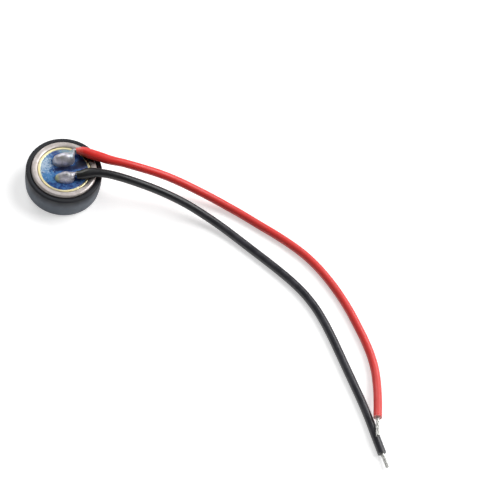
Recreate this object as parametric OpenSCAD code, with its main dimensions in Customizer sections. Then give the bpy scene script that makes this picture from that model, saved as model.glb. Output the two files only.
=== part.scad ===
// Electret microphone capsule, 6 mm across and 2.2 mm high, in a rubber boot, with two soldered leads.
// The boot's front face, with the sound opening, is at z = 0. The wired back of the capsule looks up.
// The capsule's axis is Z. The leads leave over the rim towards +X and lie on the plane z = 0.

/* [Case] */
// Outside diameter of the drawn aluminium case
case_d = 6.0; // [5.8:0.1:8]
// Height of the case, from its front face to the top of the crimped rim
case_h = 2.2; // [2:0.05:3]
// Thickness of the case's sheet
case_t = 0.15; // [0.12:0.01:0.18]
// Width of the crimped rim, from the outside of the case to the rim's inner edge
rim_w = 0.55; // [0.4:0.05:0.7]
// Outer bend radius at the crimp
crimp_bend = 0.2; // [0.15:0.01:0.28]
// Width of the slope along the rim's inner edge
rim_slope_w = 0.17; // [0.1:0.01:0.25]
// How far the rim falls down that slope
rim_fall = 0.06; // [0.02:0.01:0.1]
// Outer bend radius at the front of the case
front_bend = 0.25; // [0.15:0.01:0.28]
// Diameter of the sound port in the case's front
port_d = 1.5; // [0.8:0.1:2.4]

/* [Rubber boot] */
// Wall of the boot around the case
boot_wall = 0.5; // [0.4:0.05:0.9]
// Thickness of the boot's front wall, which the case rests on
boot_front = 0.5; // [0.45:0.05:0.8]
// How far the crimped rim stands above the boot's lip
rim_proud = 0.2; // [0.05:0.05:0.5]
// Radial clearance between the boot and the case
boot_fit = 0.02; // [0.01:0.01:0.04]
// Diameter of the sound opening in the boot's front wall
opening_d = 3.6; // [2:0.1:4]
// Radius of the rounded outer edge of the lip
lip_edge = 0.15; // [0.05:0.01:0.2]
// Bevel on the inner edge of the lip
lip_bevel = 0.1; // [0.05:0.01:0.15]
// How much smaller in radius the boot is at its foot, as a lead-in
foot_taper = 0.12; // [0.04:0.01:0.2]
// Height up to which the boot tapers
taper_h = 0.95; // [0.5:0.05:1.2]
// Radius of the rounded edge at the foot
foot_edge = 0.18; // [0.1:0.01:0.25]

/* [Dust cloth] */
// Diameter of the cloth that covers the sound opening
cloth_d = 5.0; // [4.4:0.1:5.2]
// Thickness of the cloth
cloth_t = 0.2; // [0.1:0.02:0.3]
// Radial clearance of the cloth in its recess
cloth_fit = 0.02; // [0.01:0.01:0.05]

/* [Diaphragm and back plate] */
// Radial clearance of the inner pieces in the case
inner_fit = 0.03; // [0.01:0.01:0.06]
// Height of the metal ring that the diaphragm is bonded to
polar_t = 0.2; // [0.1:0.02:0.3]
// Radial width of that ring
polar_w = 0.6; // [0.3:0.05:0.8]
// Thickness of the diaphragm film
film_t = 0.025; // [0.02:0.005:0.05]
// Thickness of the spacer that sets the air gap
spacer_t = 0.04; // [0.03:0.01:0.08]
// Radial width of the spacer
spacer_w = 0.75; // [0.6:0.05:0.9]
// Thickness of the back plate
plate_t = 0.15; // [0.1:0.01:0.25]
// Number of air holes in the back plate
plate_holes = 6; // [4:1:8]
// Diameter of each air hole
plate_hole_d = 0.4; // [0.2:0.05:0.5]
// Diameter of the circle that the air holes lie on
plate_hole_circle = 2.4; // [1.6:0.1:3]

/* [Chamber] */
// Radial wall of the insulating chamber ring
chamber_w = 0.45; // [0.3:0.05:0.5]
// Radial wall of the gate ring, which joins the back plate to the board
gate_w = 0.4; // [0.25:0.05:0.5]
// Radial clearance of the back plate and the gate ring in the chamber ring
chamber_fit = 0.03; // [0.01:0.01:0.06]

/* [Circuit board] */
// Thickness of the board
board_t = 0.45; // [0.3:0.05:0.6]
// Thickness of the copper foil on each face
foil_t = 0.035; // [0.03:0.005:0.07]
// Width of the ground ring that shows inside the crimped rim
ring_show = 0.16; // [0.1:0.02:0.3]
// Distance between the two solder pads
pad_pitch = 1.9; // [1.7:0.1:2.2]
// Turn of the pads about the capsule's axis
pad_turn = 17; // [0:1:30]
// Width of the tracks
track_w = 0.3; // [0.2:0.05:0.4]

/* [Transistor] */
// Length of the transistor's body
jfet_l = 1.2; // [1:0.05:1.4]
// Width of the body
jfet_w = 0.8; // [0.7:0.05:1]
// Height of the body
jfet_h = 0.5; // [0.35:0.05:0.6]
// How much the body is drawn in at each end of its free face
jfet_draft = 0.05; // [0.02:0.01:0.1]
// Distance between the two legs on one side
leg_pitch = 0.4; // [0.3:0.02:0.5]
// Width of each leg
leg_w = 0.22; // [0.15:0.01:0.26]
// Length of each leg outside the body
leg_l = 0.2; // [0.15:0.05:0.3]
// Thickness of each leg
leg_t = 0.1; // [0.06:0.01:0.14]

/* [Capacitors] */
// Length of the larger capacitor
large_cap_l = 1.0; // [0.8:0.05:1.2]
// Width and height of the larger capacitor
large_cap_w = 0.5; // [0.35:0.05:0.55]
// Length of the smaller capacitor
small_cap_l = 0.6; // [0.5:0.05:1]
// Width and height of the smaller capacitor
small_cap_w = 0.3; // [0.25:0.05:0.5]
// Length of each metal end
cap_end = 0.15; // [0.1:0.01:0.2]
// Distance of each capacitor from the transistor's middle
cap_offset = 0.95; // [0.85:0.05:1.1]

/* [Solder joints] */
// Length of the joint on the output pad
output_solder_l = 2.05; // [1.9:0.05:2.1]
// Width of the joint on the output pad
output_solder_w = 1.24; // [1.1:0.02:1.26]
// Height of the joint on the output pad
output_solder_h = 0.96; // [0.7:0.02:0.98]
// Width of that joint at its thin end
output_tail_w = 1.04; // [0.7:0.02:1.08]
// Height of that joint at its thin end
output_tail_h = 0.76; // [0.4:0.02:0.8]
// Length of the joint on the ground pad
ground_solder_l = 1.74; // [1.5:0.02:1.8]
// Width of the joint on the ground pad
ground_solder_w = 1.06; // [0.9:0.02:1.1]
// Height of the joint on the ground pad
ground_solder_h = 0.84; // [0.6:0.02:0.9]
// Width of that joint at its thin end
ground_tail_w = 0.8; // [0.6:0.02:0.9]
// Height of that joint at its thin end
ground_tail_h = 0.5; // [0.3:0.02:0.6]
// How much shorter the full part of each joint is than the joint
solder_tail_l = 0.2; // [0.1:0.05:0.5]
// Diameter of the solder drawn up round the core
collar_d = 0.48; // [0.4:0.02:0.54]
// Length of the core that shows between the solder and the insulation
collar_gap = 0.04; // [0.02:0.01:0.1]

/* [Leads] */
// Outside diameter of the insulation
lead_d = 0.75; // [0.6:0.05:0.8]
// Diameter of the tinned core
core_d = 0.33; // [0.25:0.01:0.4]
// Straight length of bare core in front of the insulation, before it bends into the solder
root_straight = 0.2; // [0.15:0.05:0.3]
// Distance of the core's buried end from the middle of its pad
root_shift = 0.45; // [0.3:0.05:0.5]
// Length of the tinned end of the red lead
red_tip_l = 1.9; // [1:0.1:4]
// Length of the tinned end of the black lead
black_tip_l = 1.4; // [1:0.1:4]

/* [Hidden] */
$fn = 96;

// The leads' routes, along the middle of the insulation, from the solder to the stripped end.
// The red lead's bare end lies across the black lead.
RED_ROUTE = [
    [0.6, 2.02, 3], [1.5, 2.24, 3.09], [2.8, 2.1, 3.12], [4.2, 1.97, 3.07], [5.6, 2.04, 2.88],
    [7.2, 2.2, 2.52], [8.8, 2.34, 2.08], [10.4, 2.36, 1.6], [12, 2.26, 1.13], [13.6, 2.05, 0.76],
    [15.2, 1.7, 0.52], [16.8, 1.24, 0.41], [18.4, 0.67, 0.38], [20, 0.1, 0.38], [21.6, -0.55, 0.38],
    [23.2, -1.35, 0.38], [24.6, -2.3, 0.38], [25.9, -3.4, 0.38], [27.1, -4.6, 0.38],
    [28.2, -5.87, 0.38], [29.2, -7.2, 0.38], [30.15, -8.55, 0.38], [31, -9.95, 0.38],
    [31.65, -11.4, 0.43], [32.1, -12.95, 0.57], [32.42, -14.5, 0.77], [32.72, -16.3, 0.93]
];
BLACK_ROUTE = [
    [1.25, -0.36, 3], [2, -0.07, 3.06], [2.9, 0.18, 3.1], [4.1, 0.36, 3.07], [5.4, 0.45, 2.9],
    [7, 0.52, 2.57], [8.6, 0.56, 2.15], [10.2, 0.53, 1.66], [11.8, 0.36, 1.19], [13.4, -0.02, 0.81],
    [15, -0.56, 0.56], [16.5, -1.22, 0.43], [18, -1.96, 0.38], [19.5, -2.73, 0.38], [21, -3.52, 0.38],
    [22.5, -4.38, 0.38], [23.9, -5.35, 0.38], [25.15, -6.48, 0.38], [26.25, -7.76, 0.38],
    [27.25, -9.12, 0.38], [28.2, -10.52, 0.38], [29.15, -11.94, 0.38], [30.1, -13.35, 0.38],
    [31.05, -14.78, 0.38], [31.95, -16.22, 0.38], [32.85, -17.8, 0.38], [33.78, -19.4, 0.38]
];

// The joints' plan places follow the pads, and their long sides turn towards the leads
OUTPUT_TURN = 27;
GROUND_TURN = 15;

// Length, width and height of the full part of the joints and of their thin ends
OUTPUT_SIZE = [output_solder_l - solder_tail_l, output_solder_w, output_solder_h];
OUTPUT_TAIL = [output_tail_w, output_tail_w, output_tail_h];
GROUND_SIZE = [ground_solder_l - solder_tail_l, ground_solder_w, ground_solder_h];
GROUND_TAIL = [ground_tail_w, ground_tail_w, ground_tail_h];

EDGE_STEPS = 6;
LEAD_SIDES = 8;
CORE_SIDES = 12;

// Radii
case_r = case_d / 2;
case_bore = case_r - case_t;
inner_r = case_bore - inner_fit;
rim_r = case_r - rim_w;
boot_bore = case_r + boot_fit;
boot_r = case_r + boot_wall;
chamber_bore = inner_r - chamber_w;
plate_r = chamber_bore - chamber_fit;
ring_in = rim_r - ring_show;

// Heights, from the front upwards
case_z = boot_front;
cloth_z = boot_front - cloth_t;
lip_z = case_z + case_h - rim_proud;
polar_z = case_z + case_t;
film_z = polar_z + polar_t;
spacer_z = film_z + film_t;
plate_z = spacer_z + spacer_t;
gate_z = plate_z + plate_t;
foil_top = case_z + case_h - case_t;
board_top = foil_top - foil_t;
board_z = board_top - board_t;
inner_foil_z = board_z - foil_t;

// Points along an arc, from angle a to angle b
function arc(c, r, a, b) =
    [for (i = [0:EDGE_STEPS]) let (t = a + (b - a) * i / EDGE_STEPS) c + r * [cos(t), sin(t)]];

// Place of a pad: side 1 is the output, side -1 the ground
function pad_place(side) = side * pad_pitch / 2 * [-sin(pad_turn), cos(pad_turn)];

function unit(v) = v / norm(v);

// Direction of a route at its point i
function heading(route, i) =
    unit(route[min(i + 1, len(route) - 1)] - route[max(i - 1, 0)]);

// One ring of n points round a route, square to it
function tube_ring(route, i, r, n) =
    let (t = heading(route, i), side = unit(cross(t, [0, 0, 1])), up = cross(side, t))
    [for (k = [0:n - 1]) let (a = 360 * k / n) route[i] + r * (cos(a) * side + sin(a) * up)];

// Route of a lead's bare core: out of the insulation, then into the middle of the solder, h high
function root_route(route, place, turn, h) = [
    concat(place + root_shift * [cos(turn), sin(turn)], [foil_top + h / 2]),
    route[0] - root_straight * heading(route, 0),
    route[0]
];

module ring(outer, inner, height) {
    difference() {
        cylinder(r = outer, h = height);
        translate([0, 0, -height]) cylinder(r = inner, h = 3 * height);
    }
}

// Slot-shaped outline, l long and w wide, lying along X
module slot_outline(l, w) {
    square([l - w, w], center = true);
    for (s = [-1, 1]) translate([s * (l - w) / 2, 0]) circle(d = w);
}

module rubber_boot() {
    foot_r = boot_r - foot_taper;
    color([0.09, 0.09, 0.1])
    rotate_extrude()
    polygon(concat(
        [[opening_d / 2, 0]],
        arc([foot_r - foot_edge, foot_edge], foot_edge, -90, 0),
        [[boot_r, taper_h]],
        arc([boot_r - lip_edge, lip_z - lip_edge], lip_edge, 0, 90),
        [
            [boot_bore + lip_bevel, lip_z], [boot_bore, lip_z - lip_bevel],
            [boot_bore, boot_front], [cloth_d / 2 + cloth_fit, boot_front],
            [cloth_d / 2 + cloth_fit, cloth_z], [opening_d / 2, cloth_z]
        ]
    ));
}

module dust_cloth() {
    color([0.16, 0.16, 0.17])
    translate([0, 0, cloth_z])
    cylinder(d = cloth_d, h = cloth_t);
}

// A drawn cup, closed at the front but for the sound port, its mouth turned in over the board
module case_can() {
    color([0.78, 0.78, 0.8])
    translate([0, 0, case_z])
    rotate_extrude()
    polygon(concat(
        [[port_d / 2, 0]],
        arc([case_r - front_bend, front_bend], front_bend, -90, 0),
        arc([case_r - crimp_bend, case_h - crimp_bend], crimp_bend, 0, 90),
        [
            [rim_r + rim_slope_w, case_h], [rim_r, case_h - rim_fall], [rim_r, case_h - case_t],
            [case_bore, case_h - case_t], [case_bore, case_t], [port_d / 2, case_t]
        ]
    ));
}

module polar_ring() {
    color([0.75, 0.6, 0.32])
    translate([0, 0, polar_z])
    ring(inner_r, inner_r - polar_w, polar_t);
}

module diaphragm() {
    color([0.85, 0.85, 0.8])
    translate([0, 0, film_z])
    cylinder(r = inner_r, h = film_t);
}

module spacer_ring() {
    color([0.93, 0.9, 0.75])
    translate([0, 0, spacer_z])
    ring(inner_r, inner_r - spacer_w, spacer_t);
}

module back_plate() {
    color([0.8, 0.65, 0.35])
    translate([0, 0, plate_z])
    difference() {
        cylinder(r = plate_r, h = plate_t);
        for (i = [0:plate_holes - 1])
            rotate(360 * i / plate_holes)
            translate([plate_hole_circle / 2, 0, -plate_t])
            cylinder(d = plate_hole_d, h = 3 * plate_t);
    }
}

module chamber_ring() {
    color([0.9, 0.9, 0.86])
    translate([0, 0, plate_z])
    ring(inner_r, chamber_bore, board_z - plate_z);
}

module gate_ring() {
    color([0.82, 0.68, 0.38])
    translate([0, 0, gate_z])
    ring(plate_r, plate_r - gate_w, inner_foil_z - gate_z);
}

module circuit_board() {
    color([0.1, 0.28, 0.62])
    translate([0, 0, board_z])
    cylinder(r = inner_r, h = board_t);
}

// One sheet of copper: the ring under the crimp, the ground pad and the track between them
module ground_foil() {
    place = pad_place(-1);
    color([0.85, 0.72, 0.42])
    translate([0, 0, board_top])
    linear_extrude(foil_t)
    union() {
        difference() {
            circle(r = inner_r);
            circle(r = ring_in);
        }
        translate(place)
        rotate(GROUND_TURN)
        slot_outline(ground_solder_l, ground_solder_w);
        rotate(pad_turn)
        translate([-track_w / 2, -(ring_in + inner_r) / 2])
        square([track_w, (ring_in + inner_r) / 2 - pad_pitch / 2]);
    }
}

module output_pad() {
    color([0.85, 0.72, 0.42])
    translate([0, 0, board_top])
    linear_extrude(foil_t)
    translate(pad_place(1))
    rotate(OUTPUT_TURN)
    slot_outline(output_solder_l, output_solder_w);
}

// Copper on the inner face: the gate ring's contact, its track and the pads of the components
module inner_foil() {
    color([0.85, 0.72, 0.42])
    translate([0, 0, inner_foil_z])
    linear_extrude(foil_t)
    union() {
        difference() {
            circle(r = plate_r);
            circle(r = plate_r - gate_w);
        }
        translate([jfet_l / 2, -leg_w / 2]) square([plate_r - gate_w / 2 - jfet_l / 2, leg_w]);
        for (s = [-1, 1])
            translate([-jfet_l / 2 - leg_l, (s * leg_pitch - leg_w) / 2]) square([leg_l, leg_w]);
        cap_pads(large_cap_l, large_cap_w, cap_offset);
        cap_pads(small_cap_l, small_cap_w, -cap_offset);
    }
}

module cap_pads(l, w, y) {
    for (s = [-1, 1])
        translate([s * (l - cap_end) / 2, y]) square([cap_end, w], center = true);
}

// Moulded body: upright beside the legs, drawn in towards its free face
module jfet_body() {
    color([0.1, 0.1, 0.11])
    translate([0, jfet_w / 2, inner_foil_z])
    rotate([90, 0, 0])
    linear_extrude(jfet_w)
    polygon([
        [-jfet_l / 2, 0], [jfet_l / 2, 0], [jfet_l / 2, -leg_t],
        [jfet_l / 2 - jfet_draft, -jfet_h], [-jfet_l / 2 + jfet_draft, -jfet_h], [-jfet_l / 2, -leg_t]
    ]);
}

module jfet_legs() {
    color([0.75, 0.75, 0.77])
    translate([0, 0, inner_foil_z - leg_t]) {
        translate([jfet_l / 2, -leg_w / 2, 0]) cube([leg_l, leg_w, leg_t]);
        for (s = [-1, 1])
            translate([-jfet_l / 2 - leg_l, (s * leg_pitch - leg_w) / 2, 0]) cube([leg_l, leg_w, leg_t]);
    }
}

// Ceramic middle of a chip capacitor, hung under the board at y
module cap_body(l, w, y) {
    translate([-l / 2 + cap_end, y - w / 2, inner_foil_z - w])
    cube([l - 2 * cap_end, w, w]);
}

module cap_ends(l, w, y) {
    for (x = [-l / 2, l / 2 - cap_end])
        translate([x, y - w / 2, inner_foil_z - w]) cube([cap_end, w, w]);
}

module large_capacitor() {
    color([0.62, 0.5, 0.38]) cap_body(large_cap_l, large_cap_w, cap_offset);
}

module large_capacitor_ends() {
    color([0.8, 0.8, 0.8]) cap_ends(large_cap_l, large_cap_w, cap_offset);
}

module small_capacitor() {
    color([0.62, 0.5, 0.38]) cap_body(small_cap_l, small_cap_w, -cap_offset);
}

module small_capacitor_ends() {
    color([0.8, 0.8, 0.8]) cap_ends(small_cap_l, small_cap_w, -cap_offset);
}

// A drop of solder on its pad, thin at one end and drawn up round the lead's core at the other
module solder_joint(place, turn, size, tail, route) {
    reach = (size[0] + solder_tail_l) / 2;
    root = root_route(route, place, turn, size[2]);
    difference() {
        intersection() {
            hull() {
                translate([place[0], place[1], foil_top])
                rotate(turn) {
                    translate([tail[0] / 2 - reach, 0, 0]) dome(tail);
                    translate([reach - size[0] / 2, 0, 0]) dome(size);
                }
                translate(route[0] - (collar_d / 2 + collar_gap) * heading(route, 0))
                sphere(d = collar_d, $fn = 20);
            }
            translate([0, 0, foil_top + case_h / 2]) cube([case_d, case_d, case_h], center = true);
        }
        tube(root, core_d / 2, CORE_SIDES);
    }
}

// A rounded heap of a length, width and height, with as much again below its foot
module dome(size) {
    scale([size[0] / 2, size[1] / 2, size[2]]) sphere(r = 1, $fn = 28);
}

// The tinned end of a lead
module lead_tip(route, l) {
    last = len(route) - 1;
    along(route[last], heading(route, last)) cylinder(d = core_d, h = l);
}

// Moves its children to a point and turns their Z to a direction
module along(point, direction) {
    translate(point)
    rotate([0, acos(direction[2]), atan2(direction[1], direction[0])])
    children();
}

// A solid tube of radius r and n sides along a route
module tube(route, r, n) {
    rings = len(route);
    points = [for (i = [0:rings - 1]) each tube_ring(route, i, r, n)];
    start = [[for (k = [n - 1:-1:0]) k]];
    end = [[for (k = [0:n - 1]) (rings - 1) * n + k]];
    sides = [for (i = [0:rings - 2], k = [0:n - 1])
        let (a = i * n + k, b = i * n + (k + 1) % n)
        each [[a, b, a + n], [b, b + n, a + n]]];
    polyhedron(points = points, faces = concat(start, sides, end));
}

module output_solder() {
    color([0.72, 0.72, 0.74])
    solder_joint(pad_place(1), OUTPUT_TURN, OUTPUT_SIZE, OUTPUT_TAIL, RED_ROUTE);
}

module ground_solder() {
    color([0.72, 0.72, 0.74])
    solder_joint(pad_place(-1), GROUND_TURN, GROUND_SIZE, GROUND_TAIL, BLACK_ROUTE);
}

module red_core_root() {
    color([0.7, 0.7, 0.7])
    tube(root_route(RED_ROUTE, pad_place(1), OUTPUT_TURN, output_solder_h), core_d / 2, CORE_SIDES);
}

module black_core_root() {
    color([0.7, 0.7, 0.7])
    tube(root_route(BLACK_ROUTE, pad_place(-1), GROUND_TURN, ground_solder_h), core_d / 2, CORE_SIDES);
}

module red_lead() {
    color([0.82, 0.13, 0.1]) tube(RED_ROUTE, lead_d / 2, LEAD_SIDES);
}

module black_lead() {
    color([0.1, 0.1, 0.11]) tube(BLACK_ROUTE, lead_d / 2, LEAD_SIDES);
}

module red_lead_tip() {
    color([0.7, 0.7, 0.7]) lead_tip(RED_ROUTE, red_tip_l);
}

module black_lead_tip() {
    color([0.7, 0.7, 0.7]) lead_tip(BLACK_ROUTE, black_tip_l);
}

rubber_boot();
dust_cloth();
case_can();
polar_ring();
diaphragm();
spacer_ring();
back_plate();
chamber_ring();
gate_ring();
circuit_board();
ground_foil();
output_pad();
inner_foil();
jfet_body();
jfet_legs();
large_capacitor();
large_capacitor_ends();
small_capacitor();
small_capacitor_ends();
output_solder();
ground_solder();
red_core_root();
black_core_root();
red_lead();
black_lead();
red_lead_tip();
black_lead_tip();
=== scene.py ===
"""Looks of an electret microphone capsule in a rubber boot, with two soldered leads.

Every piece is modelled in millimetres, where Blender's tools have room to work, and brought to metres
when it is finished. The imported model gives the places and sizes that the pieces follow.
"""

import logging
import math
from collections.abc import Callable, Iterator, Mapping, Sequence
from contextlib import contextmanager
from dataclasses import dataclass, field
from enum import Enum
from functools import cache

import bmesh
import bpy
from mathutils import Matrix, Vector


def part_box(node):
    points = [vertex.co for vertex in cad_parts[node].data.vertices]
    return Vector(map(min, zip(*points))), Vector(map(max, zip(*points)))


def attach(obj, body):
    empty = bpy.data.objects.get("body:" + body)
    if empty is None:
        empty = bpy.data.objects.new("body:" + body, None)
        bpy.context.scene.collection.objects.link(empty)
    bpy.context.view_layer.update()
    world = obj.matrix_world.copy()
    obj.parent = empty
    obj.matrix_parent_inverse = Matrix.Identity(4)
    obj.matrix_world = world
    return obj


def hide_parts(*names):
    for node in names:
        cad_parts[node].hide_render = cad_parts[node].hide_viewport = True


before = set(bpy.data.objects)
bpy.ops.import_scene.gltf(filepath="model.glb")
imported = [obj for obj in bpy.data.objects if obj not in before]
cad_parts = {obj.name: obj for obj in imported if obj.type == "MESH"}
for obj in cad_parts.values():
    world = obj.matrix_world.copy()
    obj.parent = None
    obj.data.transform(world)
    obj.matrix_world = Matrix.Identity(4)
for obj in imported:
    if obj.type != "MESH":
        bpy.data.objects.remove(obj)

LOG = logging.getLogger("capsule")
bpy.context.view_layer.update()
BODY = "root"
MM = 0.001
TINY = 1e-4
ROUND_STEPS = 144

Point = tuple[float, float, float]
Piece = bpy.types.Object
Tree = bpy.types.NodeTree
Node = bpy.types.Node
Socket = bpy.types.NodeSocket
Setting = Socket | float | Sequence[float]

# Routes of the two leads in millimetres, along the middle of the insulation, as in the part's source
RED_ROUTE = (
    (0.6, 2.02, 3), (1.5, 2.24, 3.09), (2.8, 2.1, 3.12), (4.2, 1.97, 3.07), (5.6, 2.04, 2.88),
    (7.2, 2.2, 2.52), (8.8, 2.34, 2.08), (10.4, 2.36, 1.6), (12, 2.26, 1.13), (13.6, 2.05, 0.76),
    (15.2, 1.7, 0.52), (16.8, 1.24, 0.41), (18.4, 0.67, 0.38), (20, 0.1, 0.38), (21.6, -0.55, 0.38),
    (23.2, -1.35, 0.38), (24.6, -2.3, 0.38), (25.9, -3.4, 0.38), (27.1, -4.6, 0.38),
    (28.2, -5.87, 0.38), (29.2, -7.2, 0.38), (30.15, -8.55, 0.38), (31, -9.95, 0.38),
    (31.65, -11.4, 0.43), (32.1, -12.95, 0.57), (32.42, -14.5, 0.77), (32.72, -16.3, 0.93),
)
BLACK_ROUTE = (
    (1.25, -0.36, 3), (2, -0.07, 3.06), (2.9, 0.18, 3.1), (4.1, 0.36, 3.07), (5.4, 0.45, 2.9),
    (7, 0.52, 2.57), (8.6, 0.56, 2.15), (10.2, 0.53, 1.66), (11.8, 0.36, 1.19), (13.4, -0.02, 0.81),
    (15, -0.56, 0.56), (16.5, -1.22, 0.43), (18, -1.96, 0.38), (19.5, -2.73, 0.38), (21, -3.52, 0.38),
    (22.5, -4.38, 0.38), (23.9, -5.35, 0.38), (25.15, -6.48, 0.38), (26.25, -7.76, 0.38),
    (27.25, -9.12, 0.38), (28.2, -10.52, 0.38), (29.15, -11.94, 0.38), (30.1, -13.35, 0.38),
    (31.05, -14.78, 0.38), (31.95, -16.22, 0.38), (32.85, -17.8, 0.38), (33.78, -19.4, 0.38),
)


# ---------------------------------------------------------------- modelling tools


def deselect_all() -> None:
    """Leaves object mode with nothing selected."""
    if bpy.context.object and bpy.context.object.mode != "OBJECT":
        bpy.ops.object.mode_set(mode="OBJECT")
    bpy.ops.object.select_all(action="DESELECT")


def make_active(piece: Piece) -> None:
    """Selects one piece alone and makes it active.

    Args:
        piece: the object.
    """
    deselect_all()
    piece.select_set(True)
    bpy.context.view_layer.objects.active = piece


@contextmanager
def editing(piece: Piece) -> Iterator[None]:
    """Opens a piece in edit mode with all of it selected, and closes it again.

    Args:
        piece: the mesh object to edit.
    """
    make_active(piece)
    bpy.ops.object.mode_set(mode="EDIT")
    bpy.ops.mesh.select_mode(type="VERT")
    bpy.ops.mesh.select_all(action="SELECT")
    try:
        yield
    finally:
        bpy.ops.object.mode_set(mode="OBJECT")


def select_where(test: Callable[[Vector], bool], kind: str = "VERT") -> None:
    """Selects only those vertices or faces of the edited mesh whose place passes a test.

    Args:
        test: takes a vertex's place or a face's middle, in the mesh's own units.
        kind: VERT or FACE.
    """
    bpy.ops.mesh.select_mode(type=kind)
    bpy.ops.mesh.select_all(action="DESELECT")
    mesh = bmesh.from_edit_mesh(bpy.context.object.data)
    for item in mesh.verts if kind == "VERT" else mesh.faces:
        if test(item.co if kind == "VERT" else item.calc_center_median()):
            item.select_set(True)
    mesh.select_flush_mode()
    bmesh.update_edit_mesh(bpy.context.object.data)


def add_modifier(piece: Piece, kind: str, **settings: object) -> None:
    """Adds a modifier to a piece and applies it.

    Args:
        piece: the mesh object.
        kind: the modifier's type.
        **settings: its settings by name.
    """
    make_active(piece)
    modifier = piece.modifiers.new(kind.lower(), kind)
    for name, value in settings.items():
        setattr(modifier, name, value)
    bpy.ops.object.modifier_apply(modifier=modifier.name)


def join(pieces: Sequence[Piece], name: str) -> Piece:
    """Joins several objects into one.

    Args:
        pieces: the objects; the first keeps its data.
        name: the joined object's name.

    Returns:
        The joined object.
    """
    make_active(pieces[0])
    for piece in pieces[1:]:
        piece.select_set(True)
    bpy.ops.object.join()
    pieces[0].name = pieces[0].data.name = name
    return pieces[0]


@dataclass(frozen=True)
class Corner:
    """One corner of a turned piece's outline, and the reach and segments of its rounding."""

    radius: float
    height: float
    rounding: float = 0.0
    segments: int = 0

    def place(self) -> Vector:
        """Where the corner is."""
        return Vector((self.radius, 0, self.height))


def draw_outline(corners: Sequence[Corner]) -> Piece:
    """Draws a closed outline in the XZ plane by extruding one vertex from corner to corner.

    Args:
        corners: its corners in order.

    Returns:
        The outline as one flat face with rounded corners, with its origin at the world's origin.
    """
    deselect_all()
    bpy.ops.mesh.primitive_plane_add(size=1)
    outline = bpy.context.object
    path = [corner.place() for corner in corners]
    with editing(outline):
        bpy.ops.mesh.merge(type="CENTER")
        bpy.ops.transform.translate(value=path[0])
        for here, there in zip(path, path[1:] + path[:1]):
            bpy.ops.mesh.extrude_region_move(TRANSFORM_OT_translate={"value": there - here})
        bpy.ops.mesh.select_all(action="SELECT")
        bpy.ops.mesh.remove_doubles(threshold=TINY)
        bpy.ops.mesh.edge_face_add()
        for corner in corners:
            if corner.rounding:
                select_where(lambda place, target=corner.place(): (place - target).length < TINY)
                bpy.ops.mesh.bevel(offset=corner.rounding, offset_type="OFFSET", segments=corner.segments,
                                   affect="VERTICES")
    return outline


def turn(name: str, corners: Sequence[Corner]) -> Piece:
    """Spins an outline's border round the Z axis into a closed solid.

    Args:
        name: the piece's name.
        corners: the corners of its outline in order.

    Returns:
        The turned piece.
    """
    piece = draw_outline(corners)
    with editing(piece):
        bpy.ops.mesh.delete(type="ONLY_FACE")
        bpy.ops.mesh.select_all(action="SELECT")
        bpy.ops.mesh.spin(steps=ROUND_STEPS, angle=math.tau, center=(0, 0, 0), axis=(0, 0, 1))
        bpy.ops.mesh.select_all(action="SELECT")
        bpy.ops.mesh.remove_doubles(threshold=TINY)
        bpy.ops.mesh.normals_make_consistent(inside=False)
    piece.name = piece.data.name = name
    return piece


def roughen(piece: Piece, size: float, depth: float, shift: float) -> None:
    """Moves a surface a little in and out by a soft cloud pattern.

    Args:
        piece: the mesh object, in millimetres.
        size: size of the unevenness.
        depth: how far the surface moves in all.
        shift: shifts the pattern, so that like pieces differ.
    """
    cloud = bpy.data.textures.new(f"{piece.name}_cloud", "CLOUDS")
    cloud.noise_scale = size
    cloud.noise_depth = 1
    holder = bpy.data.objects.new(f"{piece.name}_cloud_place", None)
    holder.location = (shift, -shift, shift / 2)
    bpy.context.collection.objects.link(holder)
    bpy.context.view_layer.update()
    add_modifier(
        piece, "DISPLACE", texture=cloud, texture_coords="OBJECT", texture_coords_object=holder,
        strength=depth, mid_level=0.5,
    )
    bpy.data.objects.remove(holder)
    bpy.data.textures.remove(cloud)


def box_mm(node: str) -> tuple[Vector, Vector]:
    """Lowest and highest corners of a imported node, in millimetres."""
    low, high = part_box(node)
    return Vector(low) / MM, Vector(high) / MM


# ---------------------------------------------------------------- node tools


def fill(tree: Tree, node: Node, inputs: Mapping[str | int, Setting]) -> None:
    """Fills sockets of a node: another node's socket is linked, and a value is set.

    Args:
        tree: the tree that the node is in.
        node: the node.
        inputs: what each socket gets, by its name or number.
    """
    for label, value in inputs.items():
        if isinstance(value, Socket):
            tree.links.new(value, node.inputs[label])
        else:
            node.inputs[label].default_value = value


def add_node(tree: Tree, kind: str, inputs: Mapping[str | int, Setting], **settings: object) -> Node:
    """Adds a node to a tree.

    Args:
        tree: the tree of a material, a world or an effect group.
        kind: the node's type, as in Math or TexNoise.
        inputs: what its sockets get.
        **settings: its other settings by name.

    Returns:
        The node.
    """
    node = tree.nodes.new(f"ShaderNode{kind}")
    for name, value in settings.items():
        setattr(node, name, value)
    fill(tree, node, inputs)
    return node


def reckon(tree: Tree, operation: str, *inputs: Setting) -> Socket:
    """Result of a sum on numbers."""
    return add_node(tree, "Math", dict(enumerate(inputs)), operation=operation).outputs[0]


def reckon_vector(tree: Tree, operation: str, *inputs: Setting) -> Socket:
    """Result of a sum on vectors, which is a number for LENGTH and a vector otherwise."""
    node = add_node(tree, "VectorMath", dict(enumerate(inputs)), operation=operation)
    return node.outputs["Value" if operation == "LENGTH" else "Vector"]


def noise(tree: Tree, place: Socket, scale: float, detail: float, distortion: float = 0.0) -> Socket:
    """Value of a noise texture over a place."""
    inputs = {"Vector": place, "Scale": scale, "Detail": detail, "Distortion": distortion}
    return add_node(tree, "TexNoise", inputs).outputs[0]


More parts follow.
